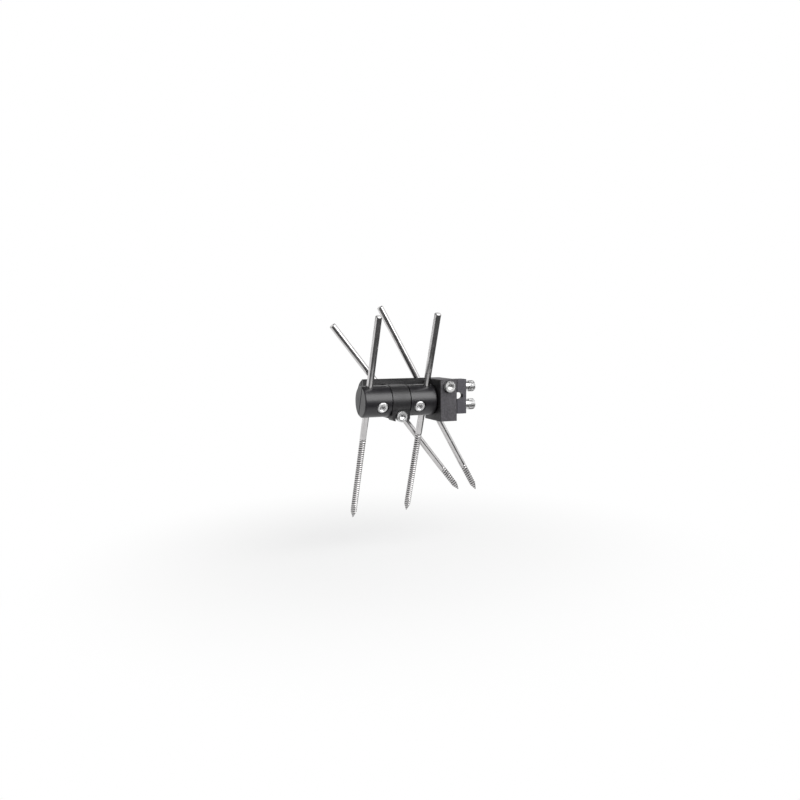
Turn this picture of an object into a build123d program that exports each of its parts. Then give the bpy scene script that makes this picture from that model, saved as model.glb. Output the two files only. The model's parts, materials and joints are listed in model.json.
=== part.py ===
from build123d import *
import os
from math import cos, radians, sin, tan

os.makedirs("parts", exist_ok=True)

# External fixator with two swivelling slit clamps in front and a bolted jaw behind.
# Millimetres. Origin: centre of the accessory groove. +X along the swivel shaft, +Y rearward, +Z up.

# Clearances
running_fit = 0.03
static_fit = 0.02
bolt_clearance = 0.2
body_gap = 0.3
edge_break = 0.6
cut_overrun = 1.0

# Half-pins
pin_d = 6.0
pin_r = pin_d / 2
thread_r = 2.7
pin_chamfer = 0.7
tip_length = 7.0
point_r = 0.3
straight_length = 200.0
straight_thread = 84.0
slanted_length = 200.0
slanted_thread = 50.0
left_straight_above = 79.4
right_straight_above = 82.1
left_slanted_above = 85.5
right_slanted_above = 95.5

# Hub and swivel clamps
body_r = 14.0
hub_length = 16.5
shaft_r = 6.0
shaft_end_gap = 0.45
clamp_gap = 0.8
clamp_length = 24.8
clamp_chamfer = 1.0
clamp_bore_depth = 5.6
clamp_roll_angle = 21.5
clamp_pin_wall = 3.35
clamp_screw_gap = 0.35
slit_width = 1.3
slit_bridge = 2.7

# Socket-head screws
screw_r = 3.0
head_r = 5.0
head_height = 6.0
hex_across = 5.0
hex_depth = 3.0
head_clearance = 0.45
clamp_seat_height = 7.9
clamp_screw_length = 20.0

# Spine, jaw and block
spine_gap = 1.2
spine_thickness = 5.5
jaw_gap = 0.4
bar_left = -25.4
bar_top = 18.4
bar_bottom = -15.5
bar_round_r = 18.6
bar_round_offset = 0.3
bar_chamfer = 1.2
block_gap = 0.9
block_width = 16.35
block_front = -18.0
block_bottom = -18.8
block_chamfer = 0.5
web_top = 14.0
web_bottom = -9.6

# Jaw bolts
hub_bolt_z = -13.2
hub_bolt_seat = -9.2
hub_seat_bottom = -14.3
ear_front = -12.0
ear_rear = -1.0
ear_top = -6.0
ear_bottom = -17.2
ear_round = 2.6
lug_r = 4.5
lug_depth = 7.5
bolt_wall = 1.4
counterbore_depth = 1.0
jaw_bolt_depth = 6.5

# Swivelling pin seats
seat_r = 7.5
seat_thickness = 12.2
seat_slit = 1.0
seat_wall = 1.5
left_seat_x = 1.93
right_seat_offset = 2.27
left_slant_angle = 51.57
right_slant_angle = 60.76
left_swing_angle = 4.5
right_swing_angle = 4.5

# Guide dowels
dowel_r = 2.0
dowel_spine_depth = 3.7
dowel_jaw_depth = 5.9
left_dowel = (-18.0, -6.0)
right_dowel = (21.0, 8.0)

# Clamp cap and its bolts
cap_gap = 0.3
cap_width = 9.1
cap_depth = 10.0
cap_bottom = -12.4
groove_z = 3.7
groove_length = 5.0
groove_relief = 2.6
cap_bolt_spread = 8.15
cap_bolt_depth = 3.9
collar_length = 3.3
collar_r = 4.4

# Derived positions, measured from the hub centre
spine_front = body_r + spine_gap
spine_rear = spine_front + spine_thickness
jaw_front = spine_rear + jaw_gap
bar_round_y = spine_front + bar_round_offset
pin_plane_y = spine_rear + body_gap + pin_r
lug_rear = jaw_front + lug_depth
jaw_bolt_end = jaw_front + jaw_bolt_depth
dowel_front = spine_rear - dowel_spine_depth
dowel_rear = jaw_front + dowel_jaw_depth
notch_r = head_r + head_clearance
clamp_inner = hub_length / 2 + clamp_gap
clamp_outer = clamp_inner + clamp_length
shaft_half = clamp_inner + clamp_bore_depth - shaft_end_gap
clamp_screw_x = shaft_half + clamp_screw_gap + screw_r
clamp_pin_x = clamp_screw_x + screw_r + clamp_pin_wall + pin_r
block_left = clamp_outer + block_gap
block_right = block_left + block_width
groove_x = block_right + pin_r
groove_y = block_front + groove_length / 2
cap_left = block_right + cap_gap
cap_right = cap_left + cap_width
cap_bolt_tip = block_right - cap_bolt_depth
block_bolt_x = cap_bolt_tip - bolt_wall - screw_r
block_bolt_z = seat_r + seat_wall + screw_r
right_seat_x = block_bolt_x - right_seat_offset
cap_rear = block_front + cap_depth
cap_bolt_y = block_front + cap_depth / 2
collar_right = cap_right + collar_length
seat_front = pin_plane_y - seat_thickness / 2
seat_rear = pin_plane_y + seat_thickness / 2
hub_x = -groove_x
hub_y = -groove_y
hub_z = -groove_z
roll = radians(clamp_roll_angle)
pin_up = Vector(0, -sin(roll), cos(roll))
screw_out = Vector(0, -cos(roll), -sin(roll))


def at(x, y, z):
    return Vector(hub_x + x, hub_y + y, hub_z + z)


def side_plane(x):
    return Plane(origin=at(x, 0, 0), x_dir=(0, 1, 0), z_dir=(1, 0, 0))


def front_plane(y):
    return Plane(origin=at(0, y, 0), x_dir=(1, 0, 0), z_dir=(0, -1, 0))


def slanted_plane(x, angle, y):
    a = radians(angle)
    return Plane(origin=at(x, y, 0), x_dir=(sin(a), 0, cos(a)), z_dir=(0, -1, 0))


def swing_outline(swing):
    s = radians(swing)
    reach = 2 * bar_round_r
    near = (pin_r + body_gap) / cos(s)
    far = near + reach * tan(s)
    return [(near, 0), (far, reach), (-far, reach), (-near, 0), (-far, -reach), (far, -reach)]


# Main body: hub, web, spine plate, right-hand block, bolt ear and lug
with BuildPart() as main_body:
    with BuildSketch(front_plane(spine_rear)):
        with Locations(((bar_left + block_right) / 2, (bar_top + bar_bottom) / 2)):
            Rectangle(block_right - bar_left, bar_top - bar_bottom)
    extrude(amount=spine_thickness)
    top_front = main_body.edges().filter_by(Axis.X).group_by(Axis.Y)[0].sort_by(Axis.Z)[-1]
    chamfer(top_front, bar_chamfer)
    left_end = main_body.faces().sort_by(Axis.X)[0].edges()
    chamfer(left_end, edge_break)
    with BuildSketch(front_plane(block_front)):
        with Locations(((block_left + block_right) / 2, (bar_top + block_bottom) / 2)):
            Rectangle(block_right - block_left, bar_top - block_bottom)
    extrude(amount=block_front - spine_front)
    block_face = main_body.faces().sort_by(Axis.Y)[0].edges()
    chamfer(block_face, block_chamfer)
    with BuildSketch(side_plane(-hub_length / 2)):
        Circle(body_r)
    extrude(amount=hub_length)
    with BuildSketch(front_plane(spine_front)):
        with Locations((0, (web_top + web_bottom) / 2)):
            Rectangle(hub_length, web_top - web_bottom)
    extrude(amount=spine_front)
    with BuildSketch(front_plane(ear_rear)) as ear_outline:
        with Locations((0, (ear_top + ear_bottom) / 2)):
            Rectangle(hub_length, ear_top - ear_bottom)
        fillet(ear_outline.vertices().sort_by(Axis.Y)[:2], ear_round)
    extrude(amount=ear_rear - ear_front)
    with BuildSketch(front_plane(ear_rear)):
        with Locations((0, hub_seat_bottom - body_r / 2)):
            Rectangle(2 * notch_r, body_r)
    extrude(amount=ear_rear - hub_bolt_seat, mode=Mode.SUBTRACT)
    with BuildSketch(front_plane(hub_bolt_seat)):
        with Locations((0, hub_bolt_z)):
            Circle(notch_r)
        with Locations((0, hub_bolt_z - body_r / 2)):
            Rectangle(2 * notch_r, body_r)
    extrude(amount=head_height, mode=Mode.SUBTRACT)
    with BuildSketch(front_plane(spine_rear)):
        with Locations((0, hub_bolt_z)):
            Circle(lug_r)
    extrude(amount=spine_thickness)
    with BuildSketch(front_plane(spine_rear)):
        with Locations((0, hub_bolt_z), (block_bolt_x, block_bolt_z)):
            Circle(screw_r + bolt_clearance)
    extrude(amount=spine_rear - block_front, mode=Mode.SUBTRACT)
    with BuildSketch(front_plane(block_front)):
        with Locations((block_bolt_x, block_bolt_z)):
            Circle(notch_r)
    extrude(amount=-counterbore_depth, mode=Mode.SUBTRACT)
    with BuildSketch(side_plane(-hub_length / 2)):
        Circle(shaft_r + static_fit)
    extrude(amount=hub_length, mode=Mode.SUBTRACT)
    with BuildSketch(front_plane(spine_rear)):
        with Locations((left_seat_x, 0), (right_seat_x, 0)):
            Circle(seat_r + running_fit)
    extrude(amount=spine_rear - seat_front + body_gap, mode=Mode.SUBTRACT)
    with BuildSketch(front_plane(spine_rear)):
        with Locations(left_dowel, right_dowel):
            Circle(dowel_r + static_fit)
    extrude(amount=spine_rear - dowel_front, mode=Mode.SUBTRACT)
    with BuildSketch(side_plane(block_right)):
        with Locations((cap_bolt_y, groove_z + cap_bolt_spread), (cap_bolt_y, groove_z - cap_bolt_spread)):
            Circle(screw_r + static_fit)
    extrude(amount=cap_bolt_tip - block_right - body_gap, mode=Mode.SUBTRACT)
main_body.part.label = "main_body"
export_step(main_body.part, "parts/main_body.step")

# Rear jaw: rounded bar with seat pockets and the openings in which the slanted pins swing
with BuildPart() as rear_jaw:
    with BuildSketch(side_plane(bar_left)):
        with Locations((bar_round_y, 0)):
            Circle(bar_round_r)
        with Locations((jaw_front + bar_round_r, (bar_top + bar_bottom) / 2)):
            Rectangle(2 * bar_round_r, bar_top - bar_bottom, mode=Mode.INTERSECT)
    extrude(amount=block_right - bar_left)
    jaw_ends = rear_jaw.faces().filter_by(Axis.X).edges()
    chamfer(jaw_ends, edge_break)
    with BuildSketch(front_plane(jaw_front)):
        with Locations((0, hub_bolt_z)):
            Circle(lug_r)
    extrude(amount=jaw_front - lug_rear)
    with BuildSketch(front_plane(jaw_front)):
        with Locations((left_seat_x, 0), (right_seat_x, 0)):
            Circle(seat_r + running_fit)
    extrude(amount=jaw_front - seat_rear - body_gap, mode=Mode.SUBTRACT)
    left_opening = (left_seat_x, left_slant_angle, left_swing_angle)
    right_opening = (right_seat_x, right_slant_angle, right_swing_angle)
    for seat_x, slant, swing in (left_opening, right_opening):
        with BuildSketch(slanted_plane(seat_x, slant, jaw_front)):
            with BuildLine():
                Polyline(*swing_outline(swing), close=True)
            make_face()
        extrude(amount=jaw_front - pin_plane_y - pin_r - body_gap, mode=Mode.SUBTRACT)
    with BuildSketch(front_plane(jaw_front)):
        with Locations((0, hub_bolt_z), (block_bolt_x, block_bolt_z)):
            Circle(screw_r + static_fit)
    extrude(amount=-2 * bar_round_r, mode=Mode.SUBTRACT)
    with BuildSketch(front_plane(jaw_front)):
        with Locations(left_dowel, right_dowel):
            Circle(dowel_r + static_fit)
    extrude(amount=jaw_front - dowel_rear, mode=Mode.SUBTRACT)
rear_jaw.part.label = "rear_jaw"
export_step(rear_jaw.part, "parts/rear_jaw.step")

# Swivel shaft
with BuildPart() as swivel_shaft:
    with BuildSketch(side_plane(-shaft_half)):
        Circle(shaft_r)
    extrude(amount=2 * shaft_half)
swivel_shaft.part.label = "swivel_shaft"
export_step(swivel_shaft.part, "parts/swivel_shaft.step")


# Slit clamp on one end of the shaft: side is -1 for left, 1 for right
def pin_clamp(side):
    screw_plane = Plane(origin=at(side * clamp_screw_x, 0, 0), x_dir=(1, 0, 0), z_dir=screw_out)
    with BuildPart() as clamp:
        with BuildSketch(side_plane(side * clamp_inner)):
            Circle(body_r)
        extrude(amount=side * clamp_length)
        outer_rim = clamp.edges().filter_by(GeomType.CIRCLE).sort_by(Axis.X)[-1 if side > 0 else 0]
        chamfer(outer_rim, clamp_chamfer)
        with BuildSketch(side_plane(side * clamp_inner)):
            Circle(shaft_r + running_fit)
        extrude(amount=side * clamp_bore_depth, mode=Mode.SUBTRACT)
        with BuildSketch(Plane(origin=at(side * clamp_pin_x, 0, 0), x_dir=(1, 0, 0), z_dir=pin_up)):
            Circle(pin_r + running_fit)
        extrude(amount=body_r + cut_overrun, both=True, mode=Mode.SUBTRACT)
        with BuildSketch(screw_plane.offset(clamp_seat_height)):
            Circle(notch_r)
        extrude(amount=body_r, mode=Mode.SUBTRACT)
        with BuildSketch(screw_plane):
            Circle(screw_r + bolt_clearance)
        extrude(amount=clamp_seat_height, mode=Mode.SUBTRACT)
        with BuildSketch(screw_plane):
            Circle(screw_r + static_fit)
        extrude(amount=-body_r - cut_overrun, mode=Mode.SUBTRACT)
        with BuildSketch(Plane(origin=at(0, 0, 0), x_dir=(1, 0, 0), z_dir=screw_out)):
            with Locations((side * (clamp_inner + slit_bridge + clamp_outer) / 2, 0)):
                Rectangle(clamp_length - slit_bridge, 2 * (body_r + cut_overrun))
        extrude(amount=slit_width / 2, both=True, mode=Mode.SUBTRACT)
    return clamp


left_pin_clamp = pin_clamp(-1)
left_pin_clamp.part.label = "left_pin_clamp"
export_step(left_pin_clamp.part, "parts/left_pin_clamp.step")

right_pin_clamp = pin_clamp(1)
right_pin_clamp.part.label = "right_pin_clamp"
export_step(right_pin_clamp.part, "parts/right_pin_clamp.step")


# Socket-head cap screw: the plane lies under the head and its normal points out of the head
def cap_screw(plane, length):
    with BuildPart() as screw:
        with BuildSketch(plane):
            Circle(head_r)
        extrude(amount=head_height)
        with BuildSketch(plane):
            Circle(screw_r)
        extrude(amount=-length)
        with BuildSketch(plane.offset(head_height)):
            RegularPolygon(hex_across / 2, 6, major_radius=False)
        extrude(amount=-hex_depth, mode=Mode.SUBTRACT)
    return screw


def clamp_screw_plane(side):
    origin = at(side * clamp_screw_x, 0, 0) + screw_out * clamp_seat_height
    return Plane(origin=origin, x_dir=(1, 0, 0), z_dir=screw_out)


def cap_bolt_plane(spread):
    return Plane(origin=at(collar_right, cap_bolt_y, groove_z + spread), x_dir=(0, 1, 0), z_dir=(1, 0, 0))


left_clamp_screw = cap_screw(clamp_screw_plane(-1), clamp_screw_length)
left_clamp_screw.part.label = "left_clamp_screw"
export_step(left_clamp_screw.part, "parts/left_clamp_screw.step")

right_clamp_screw = cap_screw(clamp_screw_plane(1), clamp_screw_length)
right_clamp_screw.part.label = "right_clamp_screw"
export_step(right_clamp_screw.part, "parts/right_clamp_screw.step")

hub_bolt_plane = Plane(origin=at(0, hub_bolt_seat, hub_bolt_z), x_dir=(1, 0, 0), z_dir=(0, -1, 0))
hub_bolt = cap_screw(hub_bolt_plane, jaw_bolt_end - hub_bolt_seat)
hub_bolt.part.label = "hub_bolt"
export_step(hub_bolt.part, "parts/hub_bolt.step")

block_seat_y = block_front + counterbore_depth
block_bolt_origin = at(block_bolt_x, block_seat_y, block_bolt_z)
block_bolt_plane = Plane(origin=block_bolt_origin, x_dir=(1, 0, 0), z_dir=(0, -1, 0))
block_bolt = cap_screw(block_bolt_plane, jaw_bolt_end - block_seat_y)
block_bolt.part.label = "block_bolt"
export_step(block_bolt.part, "parts/block_bolt.step")

cap_bolt_upper = cap_screw(cap_bolt_plane(cap_bolt_spread), collar_right - cap_bolt_tip)
cap_bolt_upper.part.label = "cap_bolt_upper"
export_step(cap_bolt_upper.part, "parts/cap_bolt_upper.step")

cap_bolt_lower = cap_screw(cap_bolt_plane(-cap_bolt_spread), collar_right - cap_bolt_tip)
cap_bolt_lower.part.label = "cap_bolt_lower"
export_step(cap_bolt_lower.part, "parts/cap_bolt_lower.step")


# Spacer collar under the head of a cap bolt
def cap_collar(spread):
    with BuildPart() as collar:
        with BuildSketch(side_plane(cap_right)):
            with Locations((cap_bolt_y, groove_z + spread)):
                Circle(collar_r)
                Circle(screw_r + bolt_clearance, mode=Mode.SUBTRACT)
        extrude(amount=collar_length)
    return collar


cap_collar_upper = cap_collar(cap_bolt_spread)
cap_collar_upper.part.label = "cap_collar_upper"
export_step(cap_collar_upper.part, "parts/cap_collar_upper.step")

cap_collar_lower = cap_collar(-cap_bolt_spread)
cap_collar_lower.part.label = "cap_collar_lower"
export_step(cap_collar_lower.part, "parts/cap_collar_lower.step")

# Clamp cap with the D-shaped accessory groove, relieved at the back
with BuildPart() as clamp_cap:
    with BuildSketch(front_plane(block_front)):
        with Locations(((cap_left + cap_right) / 2, (bar_top + cap_bottom) / 2)):
            Rectangle(cap_right - cap_left, bar_top - cap_bottom)
    extrude(amount=-cap_depth)
    cap_edges = clamp_cap.faces().sort_by(Axis.X)[-1].edges()
    chamfer(cap_edges, block_chamfer)
    with BuildSketch(front_plane(block_front)):
        with Locations((groove_x, groove_z)):
            Circle(pin_r + static_fit)
        with Locations((groove_x - pin_r, groove_z)):
            Rectangle(2 * pin_r, 2 * (pin_r + static_fit))
    extrude(amount=-cap_depth, mode=Mode.SUBTRACT)
    with BuildSketch(front_plane(cap_rear)):
        with Locations((groove_x, groove_z)):
            Circle(pin_r + groove_relief)
    extrude(amount=cap_depth - groove_length, mode=Mode.SUBTRACT)
    with BuildSketch(side_plane(cap_right)):
        with Locations((cap_bolt_y, groove_z + cap_bolt_spread), (cap_bolt_y, groove_z - cap_bolt_spread)):
            Circle(screw_r + bolt_clearance)
    extrude(amount=cap_left - cap_right, mode=Mode.SUBTRACT)
clamp_cap.part.label = "clamp_cap"
export_step(clamp_cap.part, "parts/clamp_cap.step")


# Swivelling seat for a slanted pin, slit on one side so that the jaw can close it
def pin_seat(seat_x, slant):
    a = radians(slant)
    bore_plane = Plane(origin=at(seat_x, pin_plane_y, 0), x_dir=(0, 1, 0), z_dir=(cos(a), 0, -sin(a)))
    with BuildPart() as seat:
        with BuildSketch(Plane(origin=at(seat_x, seat_front, 0), x_dir=(1, 0, 0), z_dir=(0, -1, 0))):
            Circle(seat_r)
        extrude(amount=-seat_thickness)
        with BuildSketch(bore_plane):
            Circle(pin_r + running_fit)
        extrude(amount=2 * seat_r, both=True, mode=Mode.SUBTRACT)
        with BuildSketch(slanted_plane(seat_x, slant, pin_plane_y)):
            with Locations((seat_r, 0)):
                Rectangle(2 * seat_r, 4 * seat_r)
        extrude(amount=seat_slit / 2, both=True, mode=Mode.SUBTRACT)
    return seat


left_pin_seat = pin_seat(left_seat_x, left_slant_angle)
left_pin_seat.part.label = "left_pin_seat"
export_step(left_pin_seat.part, "parts/left_pin_seat.step")

right_pin_seat = pin_seat(right_seat_x, right_slant_angle)
right_pin_seat.part.label = "right_pin_seat"
export_step(right_pin_seat.part, "parts/right_pin_seat.step")


# Guide dowel between spine and jaw
def jaw_dowel(place):
    with BuildPart() as dowel:
        with BuildSketch(front_plane(dowel_front)):
            with Locations(place):
                Circle(dowel_r)
        extrude(amount=dowel_front - dowel_rear)
    return dowel


left_jaw_dowel = jaw_dowel(left_dowel)
left_jaw_dowel.part.label = "left_jaw_dowel"
export_step(left_jaw_dowel.part, "parts/left_jaw_dowel.step")

right_jaw_dowel = jaw_dowel(right_dowel)
right_jaw_dowel.part.label = "right_jaw_dowel"
export_step(right_jaw_dowel.part, "parts/right_jaw_dowel.step")


# Half-pin: smooth shank, threaded end, drill point; the plane sits at the top end with +Y up the pin
def half_pin(plane, length, thread):
    shank_end = -(length - thread)
    with BuildPart() as pin:
        with BuildSketch(plane):
            with BuildLine():
                Polyline(
                    (0, 0),
                    (pin_r - pin_chamfer, 0),
                    (pin_r, -pin_chamfer),
                    (pin_r, shank_end),
                    (thread_r, shank_end),
                    (thread_r, -length + tip_length),
                    (point_r, -length),
                    (0, -length),
                    close=True,
                )
            make_face()
        revolve(axis=Axis(plane.origin, plane.y_dir))
    return pin


def straight_plane(side, above):
    return Plane(origin=at(side * clamp_pin_x, 0, 0) + pin_up * above, x_dir=(1, 0, 0), z_dir=screw_out)


def slanted_top(seat_x, slant, above):
    a = radians(slant)
    origin = at(seat_x - above * cos(a), pin_plane_y, above * sin(a))
    return Plane(origin=origin, x_dir=(sin(a), 0, cos(a)), z_dir=(0, -1, 0))


left_straight_pin = half_pin(straight_plane(-1, left_straight_above), straight_length, straight_thread)
left_straight_pin.part.label = "left_straight_pin"
export_step(left_straight_pin.part, "parts/left_straight_pin.step")

right_straight_pin = half_pin(straight_plane(1, right_straight_above), straight_length, straight_thread)
right_straight_pin.part.label = "right_straight_pin"
export_step(right_straight_pin.part, "parts/right_straight_pin.step")

left_slanted_plane = slanted_top(left_seat_x, left_slant_angle, left_slanted_above)
left_slanted_pin = half_pin(left_slanted_plane, slanted_length, slanted_thread)
left_slanted_pin.part.label = "left_slanted_pin"
export_step(left_slanted_pin.part, "parts/left_slanted_pin.step")

right_slanted_plane = slanted_top(right_seat_x, right_slant_angle, right_slanted_above)
right_slanted_pin = half_pin(right_slanted_plane, slanted_length, slanted_thread)
right_slanted_pin.part.label = "right_slanted_pin"
export_step(right_slanted_pin.part, "parts/right_slanted_pin.step")
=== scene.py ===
import json
import math

import bmesh
import bpy
from mathutils import Matrix, Vector


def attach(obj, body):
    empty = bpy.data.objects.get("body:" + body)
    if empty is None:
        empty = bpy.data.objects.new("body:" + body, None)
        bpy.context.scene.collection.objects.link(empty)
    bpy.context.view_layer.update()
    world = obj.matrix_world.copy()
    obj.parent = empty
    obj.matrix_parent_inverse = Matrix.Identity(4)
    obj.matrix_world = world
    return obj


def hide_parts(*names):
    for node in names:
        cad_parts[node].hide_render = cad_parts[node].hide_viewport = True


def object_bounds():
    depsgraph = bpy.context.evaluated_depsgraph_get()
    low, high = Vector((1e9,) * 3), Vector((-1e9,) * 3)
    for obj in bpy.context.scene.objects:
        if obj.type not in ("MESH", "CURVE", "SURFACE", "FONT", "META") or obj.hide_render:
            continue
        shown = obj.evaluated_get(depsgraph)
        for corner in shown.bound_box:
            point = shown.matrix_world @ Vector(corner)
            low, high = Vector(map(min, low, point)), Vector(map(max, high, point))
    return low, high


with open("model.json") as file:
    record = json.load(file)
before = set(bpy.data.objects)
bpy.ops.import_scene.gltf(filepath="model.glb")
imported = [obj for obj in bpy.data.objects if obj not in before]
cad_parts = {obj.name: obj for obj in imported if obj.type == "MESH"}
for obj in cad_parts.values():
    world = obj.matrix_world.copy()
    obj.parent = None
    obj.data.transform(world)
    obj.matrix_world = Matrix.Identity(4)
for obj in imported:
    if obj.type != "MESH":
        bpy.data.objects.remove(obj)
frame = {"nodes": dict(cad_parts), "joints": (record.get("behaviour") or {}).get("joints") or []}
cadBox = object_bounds()
cadNodes = frame["nodes"]
joints = {joint["name"]: joint for joint in frame["joints"]}
scene = bpy.context.scene
mm = 0.001
print("frame loaded:", len(cadNodes), "solids")


# Adds a node to any tree: sockets among its inputs are linked, other values are set
def put(tree, kind, inputs=None, **settings):
    node = tree.nodes.new(kind)
    for key, value in settings.items():
        setattr(node, key, value)
    for label, value in (inputs or {}).items():
        if isinstance(value, bpy.types.NodeSocket):
            tree.links.new(value, node.inputs[label])
        else:
            node.inputs[label].default_value = value
    return node.outputs


def calc(tree, operation, *terms):
    return put(tree, "ShaderNodeMath", dict(enumerate(terms)), operation=operation)[0]


def newObject(name, data):
    thing = bpy.data.objects.new(name, data)
    scene.collection.objects.link(thing)
    return thing


def nodeCorners(nodeName):
    return [vertex.co for vertex in cadNodes[nodeName].data.vertices]


# Materials: small helpers, then one function for each finish
noiseRoughness = 0.55


def newMaterial(name):
    material = bpy.data.materials.new(name)
    material.use_nodes = True
    material.node_tree.nodes.clear()
    return material, material.node_tree


# Ends a material in a shader of the given kind
def surface(tree, kind, inputs):
    shader = put(tree, "ShaderNode" + kind, inputs)[0]
    put(tree, "ShaderNodeOutputMaterial", {"Surface": shader})


def objectPlace(tree, stretch=(1, 1, 1)):
    place = put(tree, "ShaderNodeTexCoord")["Object"]
    return put(tree, "ShaderNodeMapping", {"Vector": place, "Scale": stretch})[0]


def noise(tree, place, scale, detail):
    inputs = {"Vector": place, "Scale": scale, "Detail": detail, "Roughness": noiseRoughness}
    return put(tree, "ShaderNodeTexNoise", inputs)["Fac"]


def ramp(tree, source, stops, colours):
    colour = put(tree, "ShaderNodeValToRGB", {"Fac": source})["Color"]
    for element, stop, tone in zip(colour.node.color_ramp.elements, stops, colours):
        element.position = stop
        element.color = (*tone, 1)
    return colour


def greys(values):
    return [(value,) * 3 for value in values]


def bump(tree, height, strength, distance, below=None):
    inputs = {"Height": height, "Strength": strength, "Distance": distance}
    if below is not None:
        inputs["Normal"] = below
    return put(tree, "ShaderNodeBump", inputs)[0]


blastedSet = {
    "grainScale": 3400,  # grains per metre
    "grainDetail": 2.0,
    "grainDepth": 0.00003,
    "grainStrength": 0.4,
    "pitScale": 1900,  # pits per metre
    "pitDetail": 1.0,
    "pitDepth": 0.00006,
    "pitStops": (0.40, 0.60),
    "dark": (0.0245, 0.023, 0.026),
    "light": (0.077, 0.0725, 0.0815),
    "plainContrast": 0.3,  # share of the colour contrast that stays without pitting
    "darkerShare": 0.22,  # how much of the colour stays on the darker side, left of the given X
    "fadeLength": 0.6 * mm,
    "cloudScale": 90,
    "cloudDetail": 4.0,
    "cloudStops": (0.3, 0.7),
    "roughness": (0.34, 0.46),
    "specular": 0.55,
}


# Bead-blasted black. Left of the given X, the colour is darker
def blastedBlack(name, lighterFrom, pitting, tint=(1, 1, 1)):
    s = blastedSet
    material, tree = newMaterial(name)
    place = objectPlace(tree)
    grain = noise(tree, place, s["grainScale"], s["grainDetail"])
    pits = noise(tree, place, s["pitScale"], s["pitDetail"])
    cloud = noise(tree, place, s["cloudScale"], s["cloudDetail"])
    contrast = s["plainContrast"] + (1 - s["plainContrast"]) * pitting
    middle = [(low + high) / 2 for low, high in zip(s["dark"], s["light"])]
    tones = []
    for end in ("dark", "light"):
        tones.append([(m + (c - m) * contrast) * t for c, m, t in zip(s[end], middle, tint)])
    share = put(tree, "ShaderNodeMapRange", {
        "Value": put(tree, "ShaderNodeSeparateXYZ", {0: place})["X"],
        "From Min": lighterFrom,
        "From Max": lighterFrom + s["fadeLength"],
        "To Min": s["darkerShare"],
    })[0]
    colour = ramp(tree, pits, s["pitStops"], tones)
    shaded = put(tree, "ShaderNodeVectorMath", {0: colour, "Scale": share}, operation="SCALE")[0]
    pitted = bump(tree, pits, pitting, s["pitDepth"])
    surface(tree, "BsdfPrincipled", {
        "Base Color": shaded,
        "Roughness": ramp(tree, cloud, s["cloudStops"], greys(s["roughness"])),
        "Normal": bump(tree, grain, s["grainStrength"], s["grainDepth"], pitted),
        "Specular IOR Level": s["specular"],
    })
    return material


satinSet = {
    "lineScale": 2600,  # turning lines per metre of length
    "lineDetail": 2.0,
    "lineStretch": (1.0, 0.02, 0.02),
    "lineDepth": 0.00001,
    "lineStrength": 0.22,
    "cloudScale": 160,
    "cloudDetail": 3.0,
    "stops": (0.3, 0.7),
    "dark": (0.006, 0.0055, 0.007),
    "light": (0.012, 0.011, 0.014),
    "roughness": (0.29, 0.40),
    "specular": 0.6,
}


def satinBlack(name):
    s = satinSet
    material, tree = newMaterial(name)
    lines = noise(tree, objectPlace(tree, s["lineStretch"]), s["lineScale"], s["lineDetail"])
    cloud = noise(tree, objectPlace(tree), s["cloudScale"], s["cloudDetail"])
    surface(tree, "BsdfPrincipled", {
        "Base Color": ramp(tree, cloud, s["stops"], (s["dark"], s["light"])),
        "Roughness": ramp(tree, lines, s["stops"], greys(s["roughness"])),
        "Normal": bump(tree, lines, s["lineStrength"], s["lineDepth"]),
        "Specular IOR Level": s["specular"],
    })
    return material


steelSet = {
    "pinSteel": {"dark": (0.52, 0.51, 0.51), "light": (0.66, 0.65, 0.65), "roughness": (0.13, 0.24)},
    "screwSteel": {"dark": (0.66, 0.66, 0.66), "light": (0.80, 0.80, 0.80), "roughness": (0.26, 0.38)},
    "shaftSteel": {"dark": (0.40, 0.40, 0.41), "light": (0.52, 0.52, 0.53), "roughness": (0.22, 0.36)},
    "grooveShadeColour": (0.10, 0.096, 0.096),  # painted shade in the roots between the turns of a thread
    "grainScale": 1800,
    "grainDetail": 3.0,
    "grainDepth": 0.000004,
    "grainStrength": 0.12,
    "cloudScale": 140,
    "cloudDetail": 4.0,
    "colourStops": (0.3, 0.7),
    "roughStops": (0.25, 0.75),
}


def brightSteel(name):
    s = steelSet
    kind = s[name]
    material, tree = newMaterial(name)
    place = objectPlace(tree)
    grain = noise(tree, place, s["grainScale"], s["grainDetail"])
    cloud = noise(tree, place, s["cloudScale"], s["cloudDetail"])
    # painted shade: the colour darkens in the thread roots, by the stored groove mask
    colour = put(tree, "ShaderNodeMix", {
        "Factor": put(tree, "ShaderNodeAttribute", attribute_name="groove")["Fac"],
        "A": ramp(tree, cloud, s["colourStops"], (kind["dark"], kind["light"])),
        "B": (*s["grooveShadeColour"], 1),
    }, data_type="RGBA")["Result"]
    surface(tree, "BsdfPrincipled", {
        "Base Color": colour,
        "Metallic": 1.0,
        "Roughness": ramp(tree, cloud, s["roughStops"], greys(kind["roughness"])),
        "Normal": bump(tree, grain, s["grainStrength"], s["grainDepth"]),
    })
    return material


# Where the colour turns lighter on each black piece, in X, and how pitted it is
blackSet = {
    "blockWidth": 16.65 * mm,  # from the block's left face to the cap
    "blockEdge": 0.2 * mm,
    "pastJaw": 40 * mm,  # right of the jaw, so that the whole jaw is darker
    "bodyPitting": 1.0,
    "jawPitting": 0.5,
    "capPitting": 0.3,
    "capTint": (1.0, 1.02, 1.08),
}
blockLeft = min(corner.x for corner in nodeCorners("clamp_cap")) - blackSet["blockWidth"]
bodyBlack = blastedBlack("bodyBlack", blockLeft + blackSet["blockEdge"], blackSet["bodyPitting"])
jawBlack = blastedBlack("jawBlack", blockLeft + blackSet["pastJaw"], blackSet["jawPitting"])
capBlack = blastedBlack("capBlack", blockLeft, blackSet["capPitting"], blackSet["capTint"])
clampBlack = satinBlack("clampBlack")
seatBlack = satinBlack("seatBlack")
pinSteel = brightSteel("pinSteel")
screwSteel = brightSteel("screwSteel")
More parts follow.
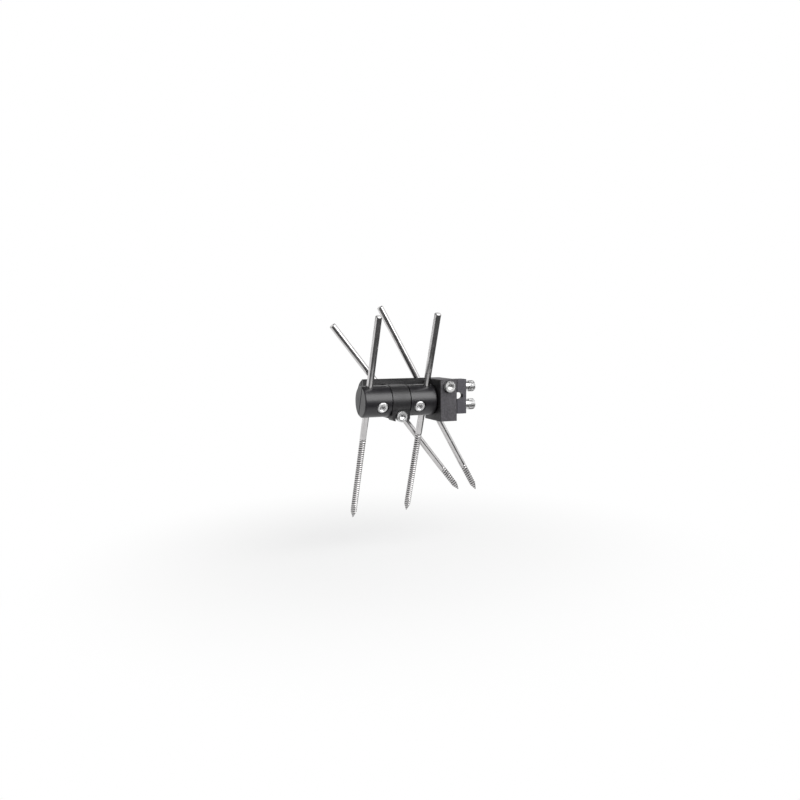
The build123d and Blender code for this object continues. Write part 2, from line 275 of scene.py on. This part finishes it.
shaftSteel = brightSteel("shaftSteel")
print("finishes ready")


# Geometry node helpers
def newTree(name, inputs):
    tree = bpy.data.node_groups.new(name, "GeometryNodeTree")
    tree.interface.new_socket("Geometry", in_out="INPUT", socket_type="NodeSocketGeometry")
    for label, kind, value in inputs:
        socket = tree.interface.new_socket(label, in_out="INPUT", socket_type="NodeSocket" + kind)
        if value is not None:
            socket.default_value = value
    tree.interface.new_socket("Geometry", in_out="OUTPUT", socket_type="NodeSocketGeometry")
    given = tree.nodes.new("NodeGroupInput").outputs
    return tree, given


# Joins the added shape to the given geometry, then realizes it and sets its finish
def endTree(tree, given, added):
    joined = put(tree, "GeometryNodeJoinGeometry", {"Geometry": added})[0]
    tree.links.new(given["Geometry"], joined.node.inputs[0])
    real = put(tree, "GeometryNodeRealizeInstances", {"Geometry": joined})[0]
    done = put(tree, "GeometryNodeSetMaterial", {"Geometry": real, "Material": given["Finish"]})[0]
    put(tree, "NodeGroupOutput", {"Geometry": done})
    return tree


def unitRange(tree, value):
    return calc(tree, "MINIMUM", calc(tree, "MAXIMUM", value, 0.0), 1.0)


def runTree(baseMesh, tree, material, values):
    carrier = newObject(tree.name + "Carrier", baseMesh)
    modifier = carrier.modifiers.new("shape", "NODES")
    modifier.node_group = tree
    for item in tree.interface.items_tree:
        if item.in_out == "INPUT" and item.name in values:
            modifier[item.identifier] = values[item.name]
        if item.in_out == "INPUT" and item.name == "Finish":
            modifier[item.identifier] = material
    bpy.context.view_layer.update()
    shaped = carrier.evaluated_get(bpy.context.evaluated_depsgraph_get())
    mesh = bpy.data.meshes.new_from_object(shaped)
    bpy.data.objects.remove(carrier)
    return mesh


# Adds a screw thread with a pointed or blunt end below the given shank, along -Z
def buildThreadTree():
    tree, given = newTree("threadTurns", [
        ("Start", "Float", 0.0),
        ("Length", "Float", 0.08),
        ("Crest Radius", "Float", 0.0029),
        ("Depth", "Float", 0.0006),
        ("Pitch", "Float", 0.0018),
        ("Crest Share", "Float", 0.35),
        ("Flank Slope", "Float", 2.2),
        ("Run-Out Turns", "Float", 2.0),
        ("Tip Length", "Float", 0.007),
        ("Tip Radius", "Float", 0.0003),
        ("Flute Depth", "Float", 0.0),
        ("Flute Length", "Float", 0.015),
        ("Flute Sharpness", "Float", 4.0),
        ("Flute Run-In", "Float", 4.0),
        ("Flute Limit", "Float", 0.6),
        ("End Share", "Float", 0.0001),
        ("Merge Distance", "Float", 0.000001),
        ("Around", "Int", 33),
        ("Rings", "Int", 400),
        ("Finish", "Material", None),
    ])
    grid = put(tree, "GeometryNodeMeshGrid", {
        "Size X": 1.0, "Size Y": 1.0, "Vertices X": given["Around"], "Vertices Y": given["Rings"],
    })["Mesh"]
    flat = put(tree, "ShaderNodeSeparateXYZ", {"Vector": put(tree, "GeometryNodeInputPosition")[0]})
    around = calc(tree, "ADD", flat["X"], 0.5)
    along = calc(tree, "ADD", flat["Y"], 0.5)
    depthDown = calc(tree, "MULTIPLY", along, given["Length"])
    toTip = calc(tree, "SUBTRACT", given["Length"], depthDown)
    # turns of the thread, fading in below the shank
    turns = calc(tree, "DIVIDE", depthDown, given["Pitch"])
    phase = calc(tree, "FRACT", calc(tree, "ADD", turns, around))
    wave = calc(tree, "ABSOLUTE", calc(tree, "SUBTRACT", calc(tree, "MULTIPLY", phase, 2.0), 1.0))
    groove = calc(tree, "SUBTRACT", wave, given["Crest Share"])
    groove = unitRange(tree, calc(tree, "MULTIPLY", groove, given["Flank Slope"]))
    runOut = calc(tree, "MINIMUM", calc(tree, "DIVIDE", turns, given["Run-Out Turns"]), 1.0)
    shade = calc(tree, "MULTIPLY", groove, runOut)
    radius = calc(tree, "SUBTRACT", given["Crest Radius"], calc(tree, "MULTIPLY", shade, given["Depth"]))
    # the point
    slope = calc(tree, "SUBTRACT", given["Crest Radius"], given["Tip Radius"])
    slope = calc(tree, "DIVIDE", slope, given["Tip Length"])
    cone = calc(tree, "ADD", calc(tree, "MULTIPLY", toTip, slope), given["Tip Radius"])
    radius = calc(tree, "MINIMUM", radius, cone)
    # two flutes that fade out above the point
    angle = calc(tree, "MULTIPLY", around, 2 * math.pi)
    valley = calc(tree, "ABSOLUTE", calc(tree, "COSINE", angle))
    valley = calc(tree, "POWER", valley, given["Flute Sharpness"])
    fade = calc(tree, "SUBTRACT", 1.0, calc(tree, "DIVIDE", toTip, given["Flute Length"]))
    fade = unitRange(tree, calc(tree, "MULTIPLY", fade, given["Flute Run-In"]))
    flute = calc(tree, "MULTIPLY", calc(tree, "MULTIPLY", valley, fade), given["Flute Depth"])
    flute = calc(tree, "MINIMUM", flute, calc(tree, "MULTIPLY", radius, given["Flute Limit"]))
    radius = calc(tree, "SUBTRACT", radius, flute)
    # the first and last rings close on the axis
    pastFirst = calc(tree, "GREATER_THAN", along, given["End Share"])
    beforeLast = calc(tree, "LESS_THAN", along, calc(tree, "SUBTRACT", 1.0, given["End Share"]))
    radius = calc(tree, "MULTIPLY", radius, calc(tree, "MULTIPLY", pastFirst, beforeLast))
    bent = put(tree, "ShaderNodeCombineXYZ", {
        "X": calc(tree, "MULTIPLY", radius, calc(tree, "COSINE", angle)),
        "Y": calc(tree, "MULTIPLY", radius, calc(tree, "SINE", angle)),
        "Z": calc(tree, "SUBTRACT", given["Start"], depthDown),
    })[0]
    # the groove depth is also stored as the mask for the painted shade in the thread roots
    marked = put(tree, "GeometryNodeStoreNamedAttribute", {
        "Geometry": grid, "Name": "groove", "Value": shade,
    })[0]
    rod = put(tree, "GeometryNodeSetPosition", {"Geometry": marked, "Position": bent})[0]
    rod = put(tree, "GeometryNodeMergeByDistance", {
        "Geometry": rod, "Distance": given["Merge Distance"],
    })[0]
    return endTree(tree, given, rod)


# Adds straight knurl ridges round a screw head that stands on z = 0
def buildKnurlTree():
    tree, given = newTree("knurlRidges", [
        ("Count", "Int", 40),
        ("Circle Radius", "Float", 0.0048),
        ("Ridge Radius", "Float", 0.0003),
        ("Ridge Sides", "Int", 6),
        ("Ridge Height", "Float", 0.004),
        ("Bottom", "Float", 0.0008),
        ("Finish", "Material", None),
    ])
    ring = put(tree, "GeometryNodeMeshCircle", {
        "Vertices": given["Count"], "Radius": given["Circle Radius"],
    })[0]
    ridge = put(tree, "GeometryNodeMeshCylinder", {
        "Vertices": given["Ridge Sides"], "Radius": given["Ridge Radius"], "Depth": given["Ridge Height"],
    })["Mesh"]
    middle = calc(tree, "ADD", given["Bottom"], calc(tree, "MULTIPLY", given["Ridge Height"], 0.5))
    lift = put(tree, "ShaderNodeCombineXYZ", {"Z": middle})[0]
    raised = put(tree, "GeometryNodeTransform", {"Geometry": ridge, "Translation": lift})[0]
    many = put(tree, "GeometryNodeInstanceOnPoints", {"Points": ring, "Instance": raised})[0]
    return endTree(tree, given, many)


threadTree = buildThreadTree()
knurlTree = buildKnurlTree()
print("geometry node trees ready")


# Places: a matrix whose Z axis leaves a solid at its highest point along the given direction
def endPlace(nodeName, direction):
    out = Vector(direction).normalized()
    first = out.orthogonal().normalized()
    second = out.cross(first)
    points = nodeCorners(nodeName)
    spans = []
    for axis in (first, second, out):
        reach = [point.dot(axis) for point in points]
        spans.append((min(reach), max(reach)))
    centre = first * sum(spans[0]) / 2 + second * sum(spans[1]) / 2 + out * spans[2][1]
    place = Matrix((first, second, out)).transposed().to_4x4()
    place.translation = centre
    return place, spans[2][1] - spans[2][0]


# A closed turned blank from (radius, height) stations. A radius may be a function of the angle
def turnedBlank(name, stations, around):
    bm = bmesh.new()
    rows = []
    for radius, height in stations:
        if radius == 0:
            rows.append([bm.verts.new((0, 0, height))])
            continue
        row = []
        for step in range(around):
            angle = 2 * math.pi * step / around
            reach = radius(angle) if callable(radius) else radius
            row.append(bm.verts.new((reach * math.cos(angle), reach * math.sin(angle), height)))
        rows.append(row)
    for low, high in zip(rows, rows[1:]):
        for step in range(around):
            after = (step + 1) % around
            if len(low) == 1:
                bm.faces.new((low[0], high[after], high[step]))
            elif len(high) == 1:
                bm.faces.new((low[step], low[after], high[0]))
            else:
                bm.faces.new((low[step], low[after], high[after], high[step]))
    bmesh.ops.recalc_face_normals(bm, faces=bm.faces)
    mesh = bpy.data.meshes.new(name)
    bm.to_mesh(mesh)
    bm.free()
    return mesh


def register(piece, body, nodeName):
    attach(piece, body)
    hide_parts(nodeName)


def finishPiece(nodeName, mesh, place, body, smoothAngle):
    bm = bmesh.new()
    bm.from_mesh(mesh)
    bmesh.ops.recalc_face_normals(bm, faces=bm.faces)
    bm.to_mesh(mesh)
    bm.free()
    mesh.transform(place)
    mesh.name = nodeName + "_detail"
    mesh.shade_smooth()
    mesh.set_sharp_from_angle(angle=math.radians(smoothAngle))
    register(newObject(nodeName + "_detail", mesh), body, nodeName)


# Half-pins: smooth shank, helical thread and fluted point
halfPinSet = {
    "radius": 2.99 * mm,
    "topChamfer": 0.7 * mm,
    "shankRunOut": 0.4 * mm,
    "threadRadius": 2.96 * mm,
    "threadDepth": 0.7 * mm,
    "pitch": 2.25 * mm,
    "overlap": 1.0 * mm,  # the thread starts inside the shank
    "tipLength": 7.0 * mm,
    "tipRadius": 0.3 * mm,
    "fluteDepth": 1.3 * mm,
    "fluteLength": 15.0 * mm,
    "around": 48,
    "threadAround": 49,
    "ringsPerTurn": 14,
    "straightThread": 84.0 * mm,
    "slantedThread": 28.0 * mm,
    "smoothAngle": 40,
}


def makeHalfPin(side, kind):
    s = halfPinSet
    nodeName = side + "_" + kind + "_pin"
    joint = joints[side + "_" + kind + "_slide"]
    place, length = endPlace(nodeName, joint["axis"])
    thread = s[kind + "Thread"]
    shankEnd = thread - length
    threadLength = thread + s["overlap"]
    r = s["radius"]
    c = s["topChamfer"]
    blank = turnedBlank(nodeName + "Blank", [
        (0, shankEnd),
        (s["threadRadius"], shankEnd),
        (r, shankEnd + s["shankRunOut"]),
        (r, -c),
        (r - c, 0),
        (0, 0),
    ], s["around"])
    mesh = runTree(blank, threadTree, pinSteel, {
        "Start": shankEnd + s["overlap"],
        "Length": threadLength,
        "Crest Radius": s["threadRadius"],
        "Depth": s["threadDepth"],
        "Pitch": s["pitch"],
        "Tip Length": s["tipLength"],
        "Tip Radius": s["tipRadius"],
        "Flute Depth": s["fluteDepth"],
        "Flute Length": s["fluteLength"],
        "Around": s["threadAround"],
        "Rings": round(threadLength / s["pitch"] * s["ringsPerTurn"]),
    })
    finishPiece(nodeName, mesh, place, joint["child"], s["smoothAngle"])


for side in ("left", "right"):
    for kind in ("straight", "slanted"):
        makeHalfPin(side, kind)
print("half-pins ready")


# Socket-head screws with knurled heads
screwSet = {
    "headRadius": 5.0 * mm,
    "headHeight": 6.0 * mm,
    "coreRadius": 4.78 * mm,  # below the knurl
    "topChamfer": 0.5 * mm,
    "shoulderDrop": 0.2 * mm,  # small step below the top chamfer
    "shoulderStep": 0.1 * mm,
    "footChamfer": 0.3 * mm,
    "hexAcross": 5.0 * mm,
    "hexDepth": 3.0 * mm,
    "hexChamfer": 0.35 * mm,
    "hexCone": 1.0 * mm,  # drill point below the socket
    "shankRadius": 3.0 * mm,
    "shankOverlap": 0.2 * mm,
    "threadDepth": 0.5 * mm,
    "pitch": 1.0 * mm,
    "crestShare": 0.25,
    "threadLength": 12.0 * mm,
    "tipLength": 0.7 * mm,
    "threadAround": 33,
    "ringsPerTurn": 8,
    "knurlCount": 42,
    "knurlSink": 0.05 * mm,
    "knurlBottom": 0.5 * mm,
    "knurlMargin": 0.9 * mm,
    "around": 72,
    "smoothAngle": 35,
}
pinAxis = Vector(joints["left_straight_slide"]["axis"])
shaftAxis = Vector(joints["left_clamp_swivel"]["axis"])
clampOut = shaftAxis.cross(pinAxis)
screwPlaces = {
    "left_clamp_screw": ("left_clamp", clampOut),
    "right_clamp_screw": ("right_clamp", clampOut),
    "hub_bolt": ("frame", (0, -1, 0)),
    "block_bolt": ("frame", (0, -1, 0)),
    "cap_bolt_upper": ("frame", (1, 0, 0)),
    "cap_bolt_lower": ("frame", (1, 0, 0)),
}


def hexReach(across):
    def reach(angle):
        sector = math.pi / 3
        return across / 2 / math.cos((angle % sector) - sector / 2)
    return reach


def makeScrew(nodeName):
    s = screwSet
    body, direction = screwPlaces[nodeName]
    place, length = endPlace(nodeName, direction)
    place = place @ Matrix.Translation((0, 0, -s["headHeight"]))
    top = s["headHeight"]
    core = s["coreRadius"]
    crown = core - s["shoulderStep"]
    c = s["topChamfer"]
    hexRim = hexReach(s["hexAcross"] + 2 * s["hexChamfer"])
    hexWall = hexReach(s["hexAcross"])
    shank = s["shankRadius"]
    shankLength = length - s["headHeight"]
    threadLength = min(s["threadLength"], shankLength - s["pitch"])
    threadStart = threadLength - shankLength
    blank = turnedBlank(nodeName + "Blank", [
        (0, threadStart - s["shankOverlap"]),
        (shank, threadStart - s["shankOverlap"]),
        (shank, 0),
        (core - s["footChamfer"], 0),
        (core, s["footChamfer"]),
        (core, top - c - s["shoulderDrop"]),
        (crown, top - c),
        (crown - c, top),
        (hexRim, top),
        (hexWall, top - s["hexChamfer"]),
        (hexWall, top - s["hexDepth"]),
        (0, top - s["hexDepth"] - s["hexCone"]),
    ], s["around"])
    threaded = runTree(blank, threadTree, screwSteel, {
        "Start": threadStart,
        "Length": threadLength,
        "Crest Radius": shank,
        "Depth": s["threadDepth"],
        "Pitch": s["pitch"],
        "Crest Share": s["crestShare"],
        "Tip Length": s["tipLength"],
        "Tip Radius": shank - s["tipLength"],
        "Flute Depth": 0.0,
        "Around": s["threadAround"],
        "Rings": round(threadLength / s["pitch"] * s["ringsPerTurn"]),
    })
    knurled = runTree(threaded, knurlTree, screwSteel, {
        "Count": s["knurlCount"],
        "Circle Radius": core - s["knurlSink"],
        "Ridge Radius": s["headRadius"] - core + s["knurlSink"],
        "Ridge Height": top - c - s["knurlMargin"],
        "Bottom": s["knurlBottom"],
    })
    finishPiece(nodeName, knurled, place, body, s["smoothAngle"])


for nodeName in screwPlaces:
    makeScrew(nodeName)
print("screws ready")


# Machined pieces: the solids themselves with their edges broken
edgeSet = {
    "mergeDistance": 0.000004,
    "flatAngle": 0.4,
    "bevelAngle": 32,
    "width": 0.18 * mm,
    "segments": 2,
    "flatWeight": 80,
}
machinedPieces = {
    "main_body": ("frame", "body_black", bodyBlack),
    "rear_jaw": ("frame", "body_black", jawBlack),
    "clamp_cap": ("frame", "cap_black", capBlack),
    "left_pin_clamp": ("left_clamp", "clamp_black", clampBlack),
    "right_pin_clamp": ("right_clamp", "clamp_black", clampBlack),
    "left_pin_seat": ("left_seat", "seat_black", seatBlack),
    "right_pin_seat": ("right_seat", "seat_black", seatBlack),
    "cap_collar_upper": ("frame", "screw_steel", screwSteel),
    "cap_collar_lower": ("frame", "screw_steel", screwSteel),
}
groundPieces = ("swivel_shaft", "left_jaw_dowel", "right_jaw_dowel")


def makeMachined(nodeName):
    s = edgeSet
    body, slot, material = machinedPieces[nodeName]
    flatAngle = math.radians(s["flatAngle"])
    bm = bmesh.new()
    bm.from_mesh(cadNodes[nodeName].data)
    bmesh.ops.remove_doubles(bm, verts=bm.verts, dist=s["mergeDistance"])
    bmesh.ops.dissolve_limit(bm, angle_limit=flatAngle, verts=bm.verts, edges=bm.edges)
    mesh = bpy.data.meshes.new(nodeName + "_detail")
    bm.to_mesh(mesh)
    bm.free()
    mesh.materials.clear()
    mesh.materials.append(material)
    mesh.shade_smooth()
    piece = newObject(nodeName + "_detail", mesh)
    soft = piece.modifiers.new("brokenEdges", "BEVEL")
    soft.width = s["width"]
    soft.segments = s["segments"]
    soft.limit_method = "ANGLE"
    soft.angle_limit = math.radians(s["bevelAngle"])
    even = piece.modifiers.new("evenShading", "WEIGHTED_NORMAL")
    even.mode = "FACE_AREA"
    even.weight = s["flatWeight"]
    register(piece, body, nodeName)


for nodeName in machinedPieces:
    makeMachined(nodeName)
for nodeName in groundPieces:
    cadNodes[nodeName].data.materials.clear()
    cadNodes[nodeName].data.materials.append(shaftSteel)
print("machined pieces ready")


# Pale floor, soft studio light, dark flags for the reflections, and the camera
cameraSet = {
    "azimuth": -22.09,
    "elevation": 4.84,
    "roll": -0.29,
    "distance": 0.720,
    "fromHub": (6.8 * mm, 8.0 * mm, -0.44 * mm),
    "lens": 36.0,
    "sensor": 36.0,
}
swivels = [Vector(joints[side + "_clamp_swivel"]["pos_m"]) for side in ("left", "right")]
hubCentre = (swivels[0] + swivels[1]) / 2
cameraTarget = hubCentre + Vector(cameraSet["fromHub"])
stageSet = {
    "floorRadius": 9.0,
    "floorSegments": 96,
    "floorDrop": 31.0 * mm,  # room below the tips for the low end of the pin slides
    "floorColour": (0.86, 0.86, 0.86),
    "shadowShare": 0.36,  # how much of the floor's own shading shows below the object
    "shadowReach": (0.08, 0.34),
    "worldLevel": 0.35,
    "keyPower": 19.5,
    "keySize": (1.5, 1.2),
    "keyElevation": 35,
    "keyAzimuth": 23,
    "keyDistance": 1.2,
}
# Dark cards seen by reflections only: corners in metres, turned to the camera's azimuth about the target
flagSet = {
    "glow": 0.10,
    "lift": 1 * mm,  # above the lowest tip
    "fadeReach": (0.10, 0.19),
    "faded": ("frontFloorFlag",),
    "lying": {
        "frontFloorFlag": [
            (-0.17, -0.10), (0.06, -0.10), (2.4, -0.10),
            (2.4, -1.6), (-1.6, -1.6), (-1.6, -1.2),
        ],
        "rightFloorFlag": [(0.12, 1.5), (2.4, 1.5), (2.4, -0.10), (0.12, -0.10)],
    },
    "topHeight": 0.95,
    "topCorners": [(-1.2, -0.4), (1.2, -0.4), (1.2, 0.85), (-1.2, 0.85)],
    "standing": {  # foot from, foot to, height
        "frontFlag": ((-1.6, -1.6), (1.9, -1.6), 0.38),
        "rearFlag": ((-0.5, 1.8), (0.3, 1.8), 0.6),
        "rearLeftFlag": ((-1.9, 0.5), (-1.6, 1.1), 0.6),
    },
}


# A number that goes from one value to another with the distance from a point
def radialShare(tree, centre, reach, values):
    place = put(tree, "ShaderNodeTexCoord")["Object"]
    offset = put(tree, "ShaderNodeVectorMath", {0: place, 1: centre}, operation="SUBTRACT")[0]
    away = put(tree, "ShaderNodeVectorMath", {0: offset}, operation="LENGTH")["Value"]
    labels = ("Value", "From Min", "From Max", "To Min", "To Max")
    inputs = dict(zip(labels, (away, *reach, *values)))
    return put(tree, "ShaderNodeMapRange", inputs, interpolation_type="SMOOTHSTEP")[0]


# 1 for rays from the camera, a reflection or a clear surface, otherwise 0
def seenRays(tree):
    path = put(tree, "ShaderNodeLightPath")
    seen = calc(tree, "MAXIMUM", path["Is Camera Ray"], path["Is Glossy Ray"])
    return calc(tree, "MAXIMUM", seen, path["Is Transmission Ray"])


def makeFloor():
    s = stageSet
    bm = bmesh.new()
    bmesh.ops.create_circle(bm, cap_ends=True, segments=s["floorSegments"], radius=s["floorRadius"])
    mesh = bpy.data.meshes.new("floor")
    bm.to_mesh(mesh)
    bm.free()
    floorLevel = cadBox[0].z - s["floorDrop"]
    mesh.transform(Matrix.Translation((0, 0, floorLevel)))
    floor = newObject("floor", mesh)
    material, tree = newMaterial("floorPale")
    matt = put(tree, "ShaderNodeBsdfDiffuse", {"Color": (*s["floorColour"], 1)})[0]
    white = put(tree, "ShaderNodeEmission")[0]
    centre = (cadBox[0] + cadBox[1]) / 2
    centre.z = floorLevel
    clear = radialShare(tree, centre, s["shadowReach"], (1 - s["shadowShare"], 1.0))
    share = calc(tree, "MULTIPLY", seenRays(tree), clear)
    surface(tree, "MixShader", {0: share, 1: matt, 2: white})
    mesh.materials.append(material)


# The cards glow faintly as painted dark reflections; near the middle the faded card glows white, a
# painted reflection of the pale floor
def flagMaterial(name, middle=None):
    s = flagSet
    material, tree = newMaterial(name)
    strength = s["glow"]
    if middle is not None:
        strength = radialShare(tree, middle, s["fadeReach"], (1.0, s["glow"]))
    surface(tree, "Emission", {"Strength": strength})
    return material


def makeFlags():
    s = flagSet
    level = cadBox[0].z + s["lift"]
    plain = flagMaterial("flagDark")
    faded = flagMaterial("flagFaded", (cameraTarget.x, cameraTarget.y, level))
    turn = Matrix.Rotation(math.radians(cameraSet["azimuth"]), 4, "Z")
    place = Matrix.Translation((cameraTarget.x, cameraTarget.y, 0)) @ turn
    cards = {name: [(x, y, level) for x, y in corners] for name, corners in s["lying"].items()}
    cards["topFlag"] = [(x, y, s["topHeight"]) for x, y in s["topCorners"]]
    for name, (start, end, height) in s["standing"].items():
        high = level + height
        cards[name] = [(*start, level), (*end, level), (*end, high), (*start, high)]
    for name, corners in cards.items():
        mesh = bpy.data.meshes.new(name)
        mesh.from_pydata(corners, [], [tuple(range(len(corners)))])
        mesh.transform(place)
        mesh.materials.append(faded if name in s["faded"] else plain)
        flag = newObject(name, mesh)
        flag.visible_camera = False
        flag.visible_diffuse = False
        flag.visible_shadow = False


def makeWorld():
    world = bpy.data.worlds.new("studio")
    scene.world = world
    world.use_nodes = True
    tree = world.node_tree
    tree.nodes.clear()
    strength = put(tree, "ShaderNodeMapRange", {
        "Value": seenRays(tree), "To Min": stageSet["worldLevel"], "To Max": 1.0,
    })[0]
    glow = put(tree, "ShaderNodeBackground", {"Color": (1, 1, 1, 1), "Strength": strength})[0]
    put(tree, "ShaderNodeOutputWorld", {"Surface": glow})


# Direction from the target, with azimuth 0 in front and positive to the right
def outward(azimuth, elevation):
    a, e = math.radians(azimuth), math.radians(elevation)
    return Vector((math.sin(a) * math.cos(e), -math.cos(a) * math.cos(e), math.sin(e)))


def makeKeyLight():
    s = stageSet
    lamp = bpy.data.lights.new("keyLight", "AREA")
    lamp.energy = s["keyPower"]
    lamp.shape = "RECTANGLE"
    lamp.size, lamp.size_y = s["keySize"]
    key = newObject("keyLight", lamp)
    back = outward(s["keyAzimuth"], s["keyElevation"])
    key.location = cameraTarget + back * s["keyDistance"]
    key.rotation_euler = (-back).to_track_quat("-Z", "Y").to_euler()


def makeCamera():
    s = cameraSet
    a, r = math.radians(s["azimuth"]), math.radians(s["roll"])
    back = outward(s["azimuth"], s["elevation"])
    right = Vector((math.cos(a), math.sin(a), 0))
    up = back.cross(right)
    turnedRight = right * math.cos(r) + up * math.sin(r)
    turnedUp = up * math.cos(r) - right * math.sin(r)
    data = bpy.data.cameras.new("photoCamera")
    data.lens = s["lens"]
    data.sensor_width = s["sensor"]
    camera = newObject("photoCamera", data)
    place = Matrix((turnedRight, turnedUp, back)).transposed().to_4x4()
    place.translation = cameraTarget + back * s["distance"]
    camera.matrix_world = place
    scene.camera = camera


makeFloor()
makeFlags()
makeWorld()
makeKeyLight()
makeCamera()
scene.view_settings.view_transform = "Standard"
print("stage ready")
